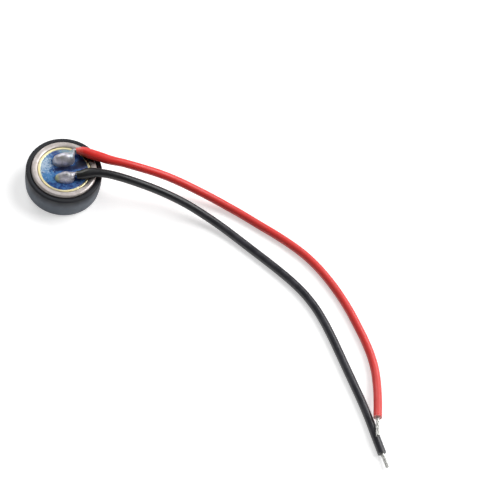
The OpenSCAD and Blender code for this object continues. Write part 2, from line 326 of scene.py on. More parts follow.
def new_effect(name: str, vectors: Sequence[str] = ("Place",),
               numbers: Sequence[str] = ("Size", "Low", "High"),
               results: Sequence[str] = ("Mask", "Height")) -> tuple[Tree, Node, Node]:
    """Starts an effect group.

    Args:
        name: the group's name.
        vectors: names of the vectors that go in.
        numbers: names of the numbers that go in.
        results: names of the numbers that come out.

    Returns:
        The group, its input node and its output node.
    """
    group = bpy.data.node_groups.new(name, "ShaderNodeTree")
    for label in vectors:
        group.interface.new_socket(label, in_out="INPUT", socket_type="NodeSocketVector")
    for label in numbers:
        group.interface.new_socket(label, in_out="INPUT", socket_type="NodeSocketFloat")
    for label in results:
        group.interface.new_socket(label, in_out="OUTPUT", socket_type="NodeSocketFloat")
    return group, group.nodes.new("NodeGroupInput"), group.nodes.new("NodeGroupOutput")


def scaled_place(group: Tree, source: Node) -> Socket:
    """The group's place divided by its size, so that one pattern unit is that long."""
    inputs = {0: source.outputs["Place"], "Scale": reckon(group, "DIVIDE", 1, source.outputs["Size"])}
    return add_node(group, "VectorMath", inputs, operation="SCALE").outputs[0]


def close_effect(group: Tree, source: Node, target: Node, value: Socket, height: Socket) -> Tree:
    """Spreads a value between Low and High into the mask, and sets the height.

    Args:
        group: the effect group.
        source: its input node.
        target: its output node.
        value: what the mask is made from.
        height: what the height is.

    Returns:
        The finished group.
    """
    spread = add_node(group, "MapRange", {
        "Value": value, "From Min": source.outputs["Low"], "From Max": source.outputs["High"],
    }, interpolation_type="SMOOTHSTEP")
    fill(group, target, {"Mask": spread.outputs["Result"], "Height": height})
    return group


# ---------------------------------------------------------------- surface finishes


@cache
def patch_effect() -> Tree:
    """One ragged patch round a place, as a mask that fades out at its edge.

    Returns:
        The group, built once.
    """
    full, gone = 0.3, 1.0
    group, source, target = new_effect(
        "ragged_patch", ("Place", "Middle", "Reach"), ("Angle", "Size", "Ragged", "Strength"), ("Mask",))
    away = reckon_vector(group, "SUBTRACT", source.outputs["Place"], source.outputs["Middle"])
    turned = add_node(group, "VectorRotate", {"Vector": away, "Angle": source.outputs["Angle"]},
                      rotation_type="Z_AXIS")
    share = reckon_vector(group, "DIVIDE", turned.outputs[0], source.outputs["Reach"])
    clouds = noise(group, scaled_place(group, source), scale=1.0, detail=3, distortion=0.5)
    edge = reckon(group, "SUBTRACT", clouds, 0.5)
    reached = reckon_vector(group, "LENGTH", share)
    uneven = reckon(group, "MULTIPLY_ADD", edge, source.outputs["Ragged"], reached)
    fade = add_node(group, "MapRange", {
        "Value": uneven, "From Min": full, "From Max": gone,
        "To Min": source.outputs["Strength"], "To Max": 0.0,
    }, interpolation_type="SMOOTHSTEP")
    fill(group, target, {"Mask": fade.outputs["Result"]})
    return group


@cache
def grain_effect() -> Tree:
    """Fine grain of a moulded or extruded surface, with broad soft patches in its mask.

    Returns:
        The group, built once.
    """
    group, source, target = new_effect("moulded_grain")
    place = scaled_place(group, source)
    patches = noise(group, place, scale=0.12, detail=2)
    fine = noise(group, place, scale=1.0, detail=3)
    return close_effect(group, source, target, patches, fine)


@cache
def turned_effect() -> Tree:
    """Fine lines round the Z axis, as drawing and crimping tools leave them, over soft stains.

    Returns:
        The group, built once.
    """
    drift, line_share = 0.03, 0.35
    group, source, target = new_effect("turned_lines")
    place = scaled_place(group, source)
    radius = reckon_vector(group, "LENGTH", reckon_vector(group, "MULTIPLY", place, (1, 1, 0)))
    split = add_node(group, "SeparateXYZ", {0: place})
    along = reckon(group, "MULTIPLY", split.outputs["X"], drift)
    across = reckon(group, "MULTIPLY", split.outputs["Y"], drift)
    slow = add_node(group, "CombineXYZ", {
        "X": reckon(group, "ADD", radius, along), "Y": across, "Z": split.outputs["Z"]})
    lines = noise(group, slow.outputs[0], scale=1.0, detail=2)
    stains = noise(group, place, scale=0.08, detail=3, distortion=0.4)
    below = reckon(group, "MULTIPLY", stains, 1 - line_share)
    mixed = reckon(group, "MULTIPLY_ADD", lines, line_share, below)
    return close_effect(group, source, target, mixed, lines)


@cache
def mottled_effect() -> Tree:
    """Cloudy patches of two sizes, as on lacquer over copper or on cooled solder.

    Returns:
        The group, built once.
    """
    group, source, target = new_effect("mottled_patches")
    place = scaled_place(group, source)
    patches = noise(group, place, scale=1.0, detail=4, distortion=0.8)
    ripples = noise(group, place, scale=2.3, detail=2, distortion=0.3)
    return close_effect(group, source, target, patches, ripples)


@cache
def fibre_effect() -> Tree:
    """Tangled fibres of a non-woven cloth.

    Returns:
        The group, built once.
    """
    group, source, target = new_effect("tangled_fibres")
    place = scaled_place(group, source)
    bent = noise(group, place, scale=0.8, detail=2, distortion=1.5)
    waves = add_node(group, "TexWave", {
        "Vector": place, "Scale": 0.9, "Distortion": 9.0, "Detail": 4.0, "Detail Scale": 1.4})
    return close_effect(group, source, target, bent, reckon(group, "MULTIPLY", bent, waves.outputs[1]))


class Pattern(Enum):
    """How a finish varies over its surface."""

    GRAIN = "fine moulded grain"
    TURNED = "fine lines round the Z axis"
    MOTTLED = "cloudy patches"
    FIBRES = "tangled fibres"


EFFECTS = {
    Pattern.GRAIN: grain_effect,
    Pattern.TURNED: turned_effect,
    Pattern.MOTTLED: mottled_effect,
    Pattern.FIBRES: fibre_effect,
}


@dataclass(frozen=True)
class Patch:
    """A ragged patch of another colour over a finish, such as a scorch mark, a painted shadow or a painted
    reflection.

    Its middle, reach and grain are in millimetres. Its angle turns it round the Z axis, in degrees.
    """

    colour: Point
    middle: Point
    reach: Point
    angle: float
    strength: float
    ragged: float
    grain: float

    def lay_over(self, tree: Tree, place: Socket, below: Socket) -> Socket:
        """Mixes the patch over a colour.

        Args:
            tree: the material's node tree.
            place: place on the surface.
            below: the colour under the patch.

        Returns:
            The mixed colour.
        """
        effect = add_node(tree, "Group", {
            "Place": place, "Middle": Vector(self.middle) * MM, "Reach": Vector(self.reach) * MM,
            "Angle": -math.radians(self.angle), "Size": self.grain * MM, "Ragged": self.ragged,
            "Strength": self.strength,
        }, node_tree=patch_effect())
        inputs = {"Factor": effect.outputs["Mask"], "A": below, "B": (*self.colour, 1)}
        return add_node(tree, "Mix", inputs, data_type="RGBA").outputs["Result"]


@dataclass(frozen=True)
class Finish:
    """One surface finish: the record's slot, the colours, the gloss and the pattern that varies them.

    The sizes of the pattern and of its bumps are in millimetres.
    """

    name: str
    slot: str
    colour: Point
    accent: Point
    roughness: tuple[float, float]
    pattern: Pattern
    pattern_size: float
    bump: float
    metallic: float = 0.0
    coat: float = 0.0
    coat_roughness: float = 0.08
    ior: float = 1.5
    spread: tuple[float, float] = (0.35, 0.65)
    patches: tuple[Patch, ...] = ()

    @cache
    def material(self) -> bpy.types.Material:
        """Builds the node material of this finish, once.

        Returns:
            The material, the same for every piece that wears this finish.
        """
        made = bpy.data.materials.new(self.name)
        made.use_nodes = True
        tree = made.node_tree
        place = add_node(tree, "TexCoord", {}).outputs["Object"]
        effect = add_node(tree, "Group", {
            "Place": place, "Size": self.pattern_size * MM, "Low": self.spread[0], "High": self.spread[1],
        }, node_tree=EFFECTS[self.pattern]())
        mask = effect.outputs["Mask"]
        tones = {"Factor": mask, "A": (*self.colour, 1), "B": (*self.accent, 1)}
        colour = add_node(tree, "Mix", tones, data_type="RGBA").outputs["Result"]
        for patch in self.patches:
            colour = patch.lay_over(tree, place, colour)
        gloss = add_node(tree, "MapRange", {
            "Value": mask, "To Min": self.roughness[0], "To Max": self.roughness[1]})
        relief = add_node(tree, "Bump", {"Distance": self.bump * MM, "Height": effect.outputs["Height"]})
        fill(tree, tree.nodes["Principled BSDF"], {
            "Base Color": colour, "Metallic": self.metallic, "Roughness": gloss.outputs["Result"],
            "IOR": self.ior, "Coat Weight": self.coat, "Coat Roughness": self.coat_roughness,
            "Normal": relief.outputs["Normal"],
        })
        return made


# Each patch: colour, middle, reach, angle, strength, raggedness and grain
# Paler patches on the mask: three cloudy ones on the left of the board, and a teal one behind the output
# drop.
MASK_PALE_PATCHES = (
    Patch((0.20, 0.37, 0.58), (-1.9, 0.1, 2.57), (1.1, 1.6, 1), 8, 0.75, 2.2, 0.3),
    Patch((0.52, 0.66, 0.80), (-1.8, -0.2, 2.57), (0.7, 1.2, 1), 8, 0.8, 4.6, 0.2),
    Patch((0.08, 0.26, 0.54), (-1.2, -1.1, 2.57), (0.9, 1.0, 1), 40, 0.75, 2.6, 0.24),
    Patch((0.24, 0.34, 0.38), (-0.2, 2.0, 2.57), (1.25, 0.5, 1), 10, 0.85, 0.6, 0.5),
)
# Mostly painted shade on the mask: painted shade at the output drop's foot, a paler grey-violet patch beside
# the drops, the darker mask over the bare gap between the coppers with the drops' painted shadow in it, and
# painted shadow under the red lead.
MASK_GAP_AND_PAINTED_SHADE = (
    Patch((0.002, 0.005, 0.045), (-0.25, 0.12, 2.57), (1.15, 0.36, 1), 30, 0.95, 0.6, 0.3),
    Patch((0.06, 0.07, 0.18), (1.3, 0.62, 2.57), (0.85, 0.3, 1), 14, 0.85, 0.8, 0.25),
    Patch((0.004, 0.006, 0.026), (0.5, 0.35, 2.57), (1.9, 0.42, 1), 26, 0.8, 0.7, 0.4),
    Patch((0.0015, 0.002, 0.008), (1.45, 1.25, 2.57), (1.1, 0.75, 1), 30, 0.95, 0.6, 0.5),
)
# Painted shadow of the red lead on the case's rim and the gilt ring between the two leads.
RIM_PAINTED_SHADOW = (
    Patch((0.016, 0.011, 0.010), (2.05, 1.85, 2.65), (1.35, 0.95, 0.8), 0, 0.98, 1.0, 0.2),
)
# Red lead: a deeper, more saturated red over the raised stretch near the capsule, deeper still near the
# joint; scorch marks at the joint's end; and a pale cut face at the far end.
RED_TONES_AND_SCORCH = (
    Patch((0.77, 0.016, 0.010), (4, 2, 2.5), (14, 8, 5), 0, 0.9, 0.3, 1.0),
    Patch((0.60, 0.008, 0.001), (2.0, 1.9, 3.1), (1.4, 0.6, 0.6), 0, 0.95, 0.4, 0.4),
    Patch((0.80, 0.13, 0.09), (0.85, 1.95, 3.1), (0.65, 0.6, 0.6), 0, 0.7, 1.4, 0.22),
    Patch((0.50, 0.14, 0.03), (1.35, 1.55, 3.0), (0.6, 0.2, 0.4), -8, 0.95, 1.2, 0.3),
    Patch((0.86, 0.50, 0.47), (32.72, -16.34, 0.93), (0.6, 0.18, 0.6), 0, 0.9, 0.0, 0.4),
)
# Black lead: darker over the raised stretch near the capsule, and an olive scorch where the insulation melted
# at the joint.
BLACK_TONE_AND_SCORCH = (
    Patch((0.005, 0.005, 0.007), (4, 0, 2.5), (14, 8, 5), 0, 0.95, 0.3, 1.0),
    Patch((0.010, 0.013, 0.002), (1.75, -0.2, 3.1), (0.95, 0.6, 0.6), 15, 0.95, 0.8, 0.3),
)
# Painted reflection of the floor: the boot's side lighter towards the foot; the second patch keeps the flat
# front at the rubber's own dark.
BOOT_PAINTED_FLOOR_REFLECTION = (
    Patch((0.115, 0.135, 0.165), (0, 0, 0.8), (60, 60, 1.6), 0, 0.9, 0.15, 0.8),
    Patch((0.010, 0.011, 0.016), (0, 0, -0.1), (60, 60, 0.3), 0, 1.0, 0.1, 0.6),
)
# Painted light on the drops: a teal reflection on the output drop's upper back; a pale yellow-green at the
# ground drop's left end; a painted highlight and a dark painted reflection on the ground drop; dark painted
# reflections low on and in the middle of the output drop; and a teal-grey tint painted over its highlight.
SOLDER_PAINTED_REFLECTIONS = (
    Patch((0.24, 0.35, 0.36), (-0.25, 1.55, 3.2), (1.2, 0.42, 0.6), 15, 0.9, 0.4, 0.4),
    Patch((0.62, 0.64, 0.34), (-0.42, -1.18, 2.75), (0.45, 0.55, 0.5), 15, 0.9, 0.5, 0.3),
    Patch((0.82, 0.79, 0.78), (0.0, -0.98, 3.05), (0.26, 0.4, 0.4), 15, 0.8, 0.4, 0.3),
    Patch((0.13, 0.14, 0.10), (0.52, -0.92, 3.35), (0.4, 0.2, 0.4), 15, 0.6, 0.5, 0.25),
    Patch((0.14, 0.15, 0.10), (0.35, 0.42, 3.0), (0.6, 0.18, 0.5), 27, 0.6, 0.5, 0.3),
    Patch((0.36, 0.36, 0.20), (-0.45, 0.75, 3.3), (0.3, 0.25, 0.4), 27, 0.5, 0.8, 0.3),
    Patch((0.30, 0.39, 0.42), (0.4, 1.15, 3.4), (0.5, 0.4, 0.5), 15, 0.75, 0.6, 0.25),
)

# Each finish: name, slot, colour, accent, roughness from and to, pattern, pattern size and bump
RUBBER = Finish("boot_rubber", "boot_rubber", (0.006, 0.007, 0.011), (0.009, 0.010, 0.015), (0.5, 0.62),
                Pattern.GRAIN, 0.09, 0.004, ior=1.42, patches=BOOT_PAINTED_FLOOR_REFLECTION)
CASE_METAL = Finish("drawn_aluminium", "case_metal", (0.56, 0.515, 0.50), (0.45, 0.41, 0.385), (0.45, 0.58),
                    Pattern.TURNED, 0.05, 0.002, metallic=1.0, patches=RIM_PAINTED_SHADOW)
GILT = Finish("gilt_copper", "plated_brass", (1.0, 0.94, 0.62), (0.95, 0.84, 0.46), (0.3, 0.42),
              Pattern.TURNED, 0.08, 0.002, metallic=1.0, patches=RIM_PAINTED_SHADOW)
# Painted shade: the ground foil is dark brown so that the narrow groove between the gilt ring and the rim,
# where the foil shows, looks shaded.
GROOVE_SHADE_COPPER = Finish("copper_painted_groove_shade", "plated_brass", (0.20, 0.13, 0.08), (0.12, 0.08, 0.05),
                        (0.5, 0.65), Pattern.MOTTLED, 0.2, 0.003, metallic=0.6)
MASK = Finish("blue_mask", "board_blue", (0.012, 0.036, 0.17), (0.05, 0.16, 0.42), (0.3, 0.45),
              Pattern.MOTTLED, 0.28, 0.006, coat=0.05, coat_roughness=0.2, ior=1.33,
              patches=MASK_PALE_PATCHES + MASK_GAP_AND_PAINTED_SHADE)
BOARD_EDGE = Finish("board_core", "board_blue", (0.03, 0.11, 0.30), (0.06, 0.18, 0.40), (0.5, 0.65),
                    Pattern.GRAIN, 0.05, 0.004)
SOLDER = Finish("cooled_solder", "solder", (0.58, 0.57, 0.65), (0.42, 0.41, 0.43), (0.44, 0.54),
                Pattern.MOTTLED, 0.6, 0.002, metallic=0.75, patches=SOLDER_PAINTED_REFLECTIONS)
TIN = Finish("tinned_copper", "tin", (0.68, 0.68, 0.66), (0.44, 0.44, 0.42), (0.32, 0.48),
             Pattern.MOTTLED, 0.25, 0.008, metallic=1.0)
RED_PVC = Finish("red_insulation", "red_pvc", (0.74, 0.034, 0.028), (0.68, 0.028, 0.022), (0.34, 0.46),
                 Pattern.GRAIN, 0.12, 0.003, ior=1.62, patches=RED_TONES_AND_SCORCH)
BLACK_PVC = Finish("black_insulation", "black_pvc", (0.020, 0.020, 0.026), (0.030, 0.029, 0.037), (0.28, 0.4),
                   Pattern.GRAIN, 0.12, 0.003, ior=1.52, patches=BLACK_TONE_AND_SCORCH)
FELT = Finish("dust_felt", "cloth", (0.012, 0.012, 0.013), (0.045, 0.045, 0.047), (0.85, 0.95),
              Pattern.FIBRES, 0.12, 0.05)
BRASS = Finish("plated_brass", "plated_brass", (0.83, 0.62, 0.28), (0.70, 0.48, 0.2), (0.25, 0.4),
               Pattern.TURNED, 0.06, 0.002, metallic=1.0)
FILM = Finish("metallised_film", "film", (0.72, 0.72, 0.68), (0.6, 0.6, 0.56), (0.15, 0.25),
              Pattern.MOTTLED, 0.6, 0.002, metallic=0.6)
RING_PLASTIC = Finish("ring_plastic", "ring_plastic", (0.78, 0.77, 0.70), (0.7, 0.69, 0.62), (0.4, 0.55),
                      Pattern.GRAIN, 0.1, 0.003)
CHIP_BLACK = Finish("chip_epoxy", "chip_black", (0.02, 0.02, 0.021), (0.035, 0.035, 0.036), (0.5, 0.65),
                    Pattern.GRAIN, 0.03, 0.003)
CHIP_CERAMIC = Finish("chip_ceramic", "chip_ceramic", (0.36, 0.25, 0.15), (0.28, 0.19, 0.11), (0.45, 0.6),
                      Pattern.MOTTLED, 0.2, 0.003)


def finish_piece(piece: Piece, finish: Finish, *nodes: str, angle: float = 35.0) -> None:
    """Args:
        piece: the finished mesh object.
        finish: what it is dressed in.
        *nodes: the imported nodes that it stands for.
        angle: edges sharper than this stay sharp, in degrees.
    """
    make_active(piece)
    bpy.ops.object.transform_apply(location=True, rotation=True, scale=True)
    piece.scale = (MM, MM, MM)
    bpy.ops.object.transform_apply(location=True, rotation=True, scale=True)
    bpy.ops.object.shade_smooth_by_angle(angle=math.radians(angle))
    piece.data.materials.clear()
    piece.data.materials.append(finish.material())
    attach(piece, BODY)
    if nodes:
        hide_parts(*nodes)
    LOG.info("%s: %d faces, %s", piece.name, len(piece.data.polygons), finish.name)


# ---------------------------------------------------------------- camera, lights and floor


@dataclass(frozen=True)
class Lamp:
    """A round soft lamp aimed at the capsule, with its place and size in millimetres."""

    name: str
    place: Point
    size: float
    power: float


@dataclass
class Studio:
    """The plain room: a pale floor, soft light and the camera."""

    elevation: float = 58.09
    roll: float = 13.9
    distance: float = 240.0
    target: Point = (18.2, -1.982, 0.0)
    pixels_per_mm: float = 10.916
    picture_width: int = 500
    sensor: float = 36.0
    floor_half: float = 1.5
    floor_drop: float = 0.02
    floor_colour: Point = (0.8, 0.8, 0.8)
    floor_lift: float = 0.5
    sky_top: float = 0.2
    sky_edge: float = 0.85
    edge_height: float = 0.35
    lamps: tuple[Lamp, ...] = (
        Lamp("key_lamp", (280.0, 200.0, 340.0), 440.0, 2.4),
        Lamp("fill_lamp", (-200.0, 280.0, 260.0), 260.0, 0.6),
    )

    def place_camera(self) -> None:
        """Aims the camera down at the part, rolled so that the capsule's axis leans to the right."""
        tilt, lean = math.radians(self.elevation), math.radians(self.roll)
        ahead = Vector((0, math.cos(tilt), -math.sin(tilt)))
        level, upright = Vector((1, 0, 0)), Vector((0, math.sin(tilt), math.cos(tilt)))
        right = math.cos(lean) * level + math.sin(lean) * upright
        above = -math.sin(lean) * level + math.cos(lean) * upright
        lens = bpy.data.cameras.new("camera")
        lens.sensor_width = self.sensor
        lens.lens = self.sensor * self.pixels_per_mm * self.distance / self.picture_width
        lens.clip_start = 0.01
        lens.clip_end = 10
        camera = bpy.data.objects.new("camera", lens)
        camera.matrix_world = Matrix((right, above, -ahead)).transposed().to_4x4()
        camera.location = (Vector(self.target) - ahead * self.distance) * MM
        bpy.context.collection.objects.link(camera)
        bpy.context.scene.camera = camera

    def lay_floor(self) -> None:
        """Lays the pale floor, lifted to white where the camera and reflections see it."""
        deselect_all()
        bpy.ops.mesh.primitive_plane_add(size=2 * self.floor_half, location=(0, 0, -self.floor_drop * MM))
        floor = bpy.context.object
        floor.name = "floor"
        made = bpy.data.materials.new("floor")
        made.use_nodes = True
        tree = made.node_tree
        fill(tree, tree.nodes["Principled BSDF"], {
            "Base Color": (*self.floor_colour, 1), "Roughness": 0.9, "Specular IOR Level": 0.0,
            "Emission Color": (1, 1, 1, 1),
            "Emission Strength": reckon(tree, "MULTIPLY", seen_directly(tree), self.floor_lift),
        })
        floor.data.materials.append(made)

    def light(self) -> None:
        """Sets the sky, pale at the horizon and dimmer overhead, and the soft lamps over the capsule."""
        world = bpy.data.worlds.new("sky")
        bpy.context.scene.world = world
        world.use_nodes = True
        tree = world.node_tree
        place = add_node(tree, "TexCoord", {})
        split = add_node(tree, "SeparateXYZ", {0: place.outputs["Generated"]})
        fade = add_node(tree, "MapRange", {
            "Value": split.outputs["Z"], "From Max": self.edge_height, "To Min": self.sky_edge,
            "To Max": self.sky_top,
        }, interpolation_type="SMOOTHSTEP")
        fill(tree, tree.nodes["Background"], {"Color": (1, 1, 1, 1), "Strength": fade.outputs["Result"]})
        for lamp in self.lamps:
            glow = bpy.data.lights.new(lamp.name, "AREA")
            glow.shape = "DISK"
            glow.size = lamp.size * MM
            glow.energy = lamp.power
            holder = bpy.data.objects.new(lamp.name, glow)
            holder.location = Vector(lamp.place) * MM
            holder.rotation_euler = (-Vector(lamp.place)).to_track_quat("-Z", "Y").to_euler()
            bpy.context.collection.objects.link(holder)

    def build(self) -> None:
        """Makes the whole studio."""
        self.place_camera()
        self.lay_floor()
        self.light()
        bpy.context.scene.view_settings.view_transform = "Standard"
        LOG.info("studio: camera %.0f mm away, %d lamps", self.distance, len(self.lamps))


def seen_directly(tree: Tree) -> Socket:
    """One for rays from the camera, from reflections and through glass, and none for the rest.

    Args:
        tree: the material's node tree.

    Returns:
        The number for each ray.
    """
    rays = add_node(tree, "LightPath", {}).outputs
    mirrored = reckon(tree, "MAXIMUM", rays["Is Camera Ray"], rays["Is Glossy Ray"])
    return reckon(tree, "MAXIMUM", mirrored, rays["Is Transmission Ray"])


# ---------------------------------------------------------------- leads


def smooth_route(route: Sequence[Point], step: float) -> list[Vector]:
    """Rounds a route into a smooth line through its points.

    Args:
        route: the points that it passes through.
        step: distance between the points that come out.

    Returns:
        Points along the line, from the first route point to the last.
    """
    points = [Vector(p) for p in route]
    ends = [2 * points[0] - points[1], *points, 2 * points[-1] - points[-2]]
    line = []
    for i in range(1, len(ends) - 2):
        before, here, there, after = ends[i - 1:i + 3]
        pieces = max(1, round((there - here).length / step))
        for k in range(pieces):
            t = k / pieces
            line.append(0.5 * (
                2 * here + (there - before) * t
                + (2 * before - 5 * here + 4 * there - after) * t * t
                + (3 * here - before - 3 * there + after) * t ** 3
            ))
    return [*line, points[-1]]


def sweep(name: str, line: Sequence[Vector], radius: float, sides: int) -> Piece:
    """Makes a solid tube along a line, with flat closed ends.

    Args:
        name: the piece's name.
        line: the middle of the tube, in millimetres.
        radius: its radius.
        sides: number of faces round it, an even one.

    Returns:
        The tube as a mesh object.
    """
    curve = bpy.data.curves.new(name, "CURVE")
    curve.dimensions = "3D"
    curve.bevel_depth = radius
    curve.bevel_resolution = sides // 2 - 2
    curve.use_fill_caps = True
    spline = curve.splines.new("POLY")
    spline.points.add(len(line) - 1)
    for point, place in zip(spline.points, line):
        point.co = (*place, 1)
    tube = bpy.data.objects.new(name, curve)
    bpy.context.collection.objects.link(tube)
    make_active(tube)
    bpy.ops.object.convert(target="MESH")
    tube = bpy.context.object
    with editing(tube):
        bpy.ops.mesh.remove_doubles(threshold=TINY)
        bpy.ops.mesh.normals_make_consistent(inside=False)
    tube.name = tube.data.name = name
    return tube


@dataclass(frozen=True)
class Swelling:
    """A stretch of insulation that the iron's heat has swollen, shrunk or let sag.

    It is given by its distance from the joint's end, by size factors, by how far it sags and by its reach.
    """

    along: float
    size: Point
    sag: Point
    reach: float


@dataclass
class Lead:
    """One lead: its insulation and its tinned bare end.

    The ring is how near a point of the insulation's nearest ring lies to the middle of a swelling. The lay
    is the length in which a strand goes round once, and the heart is how much thicker the middle one is.
    """

    colour: str
    route: Sequence[Point]
    finish: Finish
    length: float
    swellings: Sequence[Swelling]
    outer: float = 0.78
    core: float = 0.33
    mouth: float = 0.37
    mouth_depth: float = 0.12
    rim: float = 0.035
    step: float = 0.3
    ring: float = 0.468
    sides: int = 18
    strands: int = 6
    strands_across: int = 3
    strand_sides: int = 8
    strand_parts: int = 40
    heart: float = 1.7
    lay: float = 3.4

    def heading(self, last: bool) -> Vector:
        """Direction of the route at its start or at its end."""
        a, b = (self.route[-2], self.route[-1]) if last else (self.route[0], self.route[1])
        return (Vector(b) - Vector(a)).normalized()

    def open_mouth(self, place: Vector, ahead: Vector) -> None:
        """Rounds and sinks one end of the edited insulation, where the core comes out.

        Args:
            place: middle of the end.
            ahead: direction that the end faces.
        """
        select_where(lambda spot: (spot - place).length < self.mouth / 3, "FACE")
        bpy.ops.mesh.bevel(offset=self.rim, segments=3, affect="EDGES")
        bpy.ops.mesh.inset(thickness=(self.outer - self.mouth) / 2 - self.rim)
        bpy.ops.mesh.extrude_region_move(TRANSFORM_OT_translate={"value": -self.mouth_depth * ahead})

    def swell(self, middle: Vector, swelling: Swelling) -> None:
        """Swells, shrinks or sags a stretch of the edited insulation.

        Args:
            middle: middle of the stretch.
            swelling: what the heat did to it.
        """
        reach = {
            "use_proportional_edit": True, "proportional_edit_falloff": "SMOOTH",
            "proportional_size": swelling.reach,
        }
        select_where(lambda spot: (spot - middle).length < self.ring)
        bpy.ops.transform.resize(value=swelling.size, center_override=middle, **reach)
        bpy.ops.transform.translate(value=swelling.sag, **reach)

    def insulation(self) -> Piece:
        """Models the insulation: swollen and pinched by heat at the joint, with a mouth at each end.

        Returns:
            The finished tube in millimetres.
        """
        line = smooth_route(self.route, self.step)
        tube = sweep(f"{self.colour}_insulation", line, self.outer / 2, self.sides)
        with editing(tube):
            self.open_mouth(line[0], -self.heading(False))
            self.open_mouth(line[-1], self.heading(True))
            for swelling in self.swellings:
                self.swell(line[round(swelling.along / self.step)], swelling)
        return tube

    def bare_end(self) -> Piece:
        """Models the stripped end: strands twisted round a thicker middle one, run together by the tinning.

        Returns:
            The finished end in millimetres.
        """
        ahead = self.heading(True)
        start = Vector(self.route[-1]) - ahead * self.mouth_depth
        low, high = box_mm(f"{self.colour}_lead_tip")
        bare = ((high - low) - Vector([self.core * math.sqrt(1 - a * a) for a in ahead])).length
        length = bare + self.mouth_depth
        side = ahead.cross(Vector((0, 0, 1))).normalized()
        above = side.cross(ahead)
        radius = self.core / 2 / self.strands_across
        name = f"{self.colour}_strand"
        shares = [k / self.strand_parts for k in range(self.strand_parts + 1)]
        middle = [start + ahead * length * share for share in shares]
        pieces = [sweep(name, middle, radius * self.heart, self.strand_sides)]
        for s in range(self.strands):
            line = []
            for share, spot in zip(shares, middle):
                angle = math.tau * (s / self.strands + length / self.lay * share)
                out = side * math.cos(angle) + above * math.sin(angle)
                line.append(spot + (self.core / 2 - radius) * out)
            pieces.append(sweep(name, line, radius, self.strand_sides))
        return join(pieces, f"{self.colour}_bare_end")

    def build(self) -> None:
        tube = self.insulation()
        tip = self.bare_end()
        finish_piece(tube, self.finish, f"{self.colour}_lead")
        finish_piece(tip, TIN, f"{self.colour}_lead_tip", angle=60)


# ---------------------------------------------------------------- capsule


@dataclass
class RubberBoot:
    """The moulded boot: a cup with a rounded lip, a tapered foot and the recess for the dust cloth."""

    front: float = 0.5
    opening: float = 1.8
    recess: float = 2.52
    recess_depth: float = 0.2
    bore: float = 3.02
    bore_bevel: float = 0.1
    edge: float = 0.05
    lip_edge: float = 0.16
    foot_taper: float = 0.12
    foot_edge: float = 0.2
    taper_top: float = 0.95
    taper_blend: float = 0.4

    def build(self) -> None:
        """Turns the boot and dresses it."""
        low, high = box_mm("rubber_boot")
        out, top = high.x, high.z
        cloth = self.front - self.recess_depth
        boot = turn("boot", (
            Corner(self.opening, low.z, self.edge, 3),
            Corner(out - self.foot_taper, low.z, self.foot_edge, 6),
            Corner(out, self.taper_top, self.taper_blend, 4),
            Corner(out, top, self.lip_edge, 6),
            Corner(self.bore + self.bore_bevel, top, self.edge, 3),
            Corner(self.bore, top - self.bore_bevel),
            Corner(self.bore, self.front),
            Corner(self.recess, self.front),
            Corner(self.recess, cloth),
            Corner(self.opening, cloth),
        ))
        finish_piece(boot, RUBBER, "rubber_boot", angle=50)


@dataclass
class CaseCan:
    """The drawn case: closed at the front but for the port, its mouth crimped in over the board."""

    sheet: float = 0.15
    port: float = 0.75
    front_bend: float = 0.25
    crimp_bend: float = 0.1875
    crest: float = 2.8
    shoulder: float = 2.62
    shoulder_fall: float = 0.012
    shoulder_edge: float = 0.0375
    rim: float = 2.45
    rim_fall: float = 0.06
    rim_edge: float = 0.025

    def build(self) -> None:
        """Turns the case and dresses it."""
        low, high = box_mm("case_can")
        out, top = high.x, high.z
        bore, floor = out - self.sheet, low.z + self.sheet
        case = turn("case", (
            Corner(self.port, low.z),
            Corner(out, low.z, self.front_bend, 5),
            Corner(out, top, self.crimp_bend, 6),
            Corner(self.crest, top),
            Corner(self.shoulder, top - self.shoulder_fall, self.shoulder_edge, 3),
            Corner(self.rim, top - self.rim_fall, self.rim_edge, 3),
            Corner(self.rim, top - self.sheet),
            Corner(bore, top - self.sheet),
            Corner(bore, floor),
            Corner(self.port, floor),
        ))
        finish_piece(case, CASE_METAL, "case_can", angle=50)


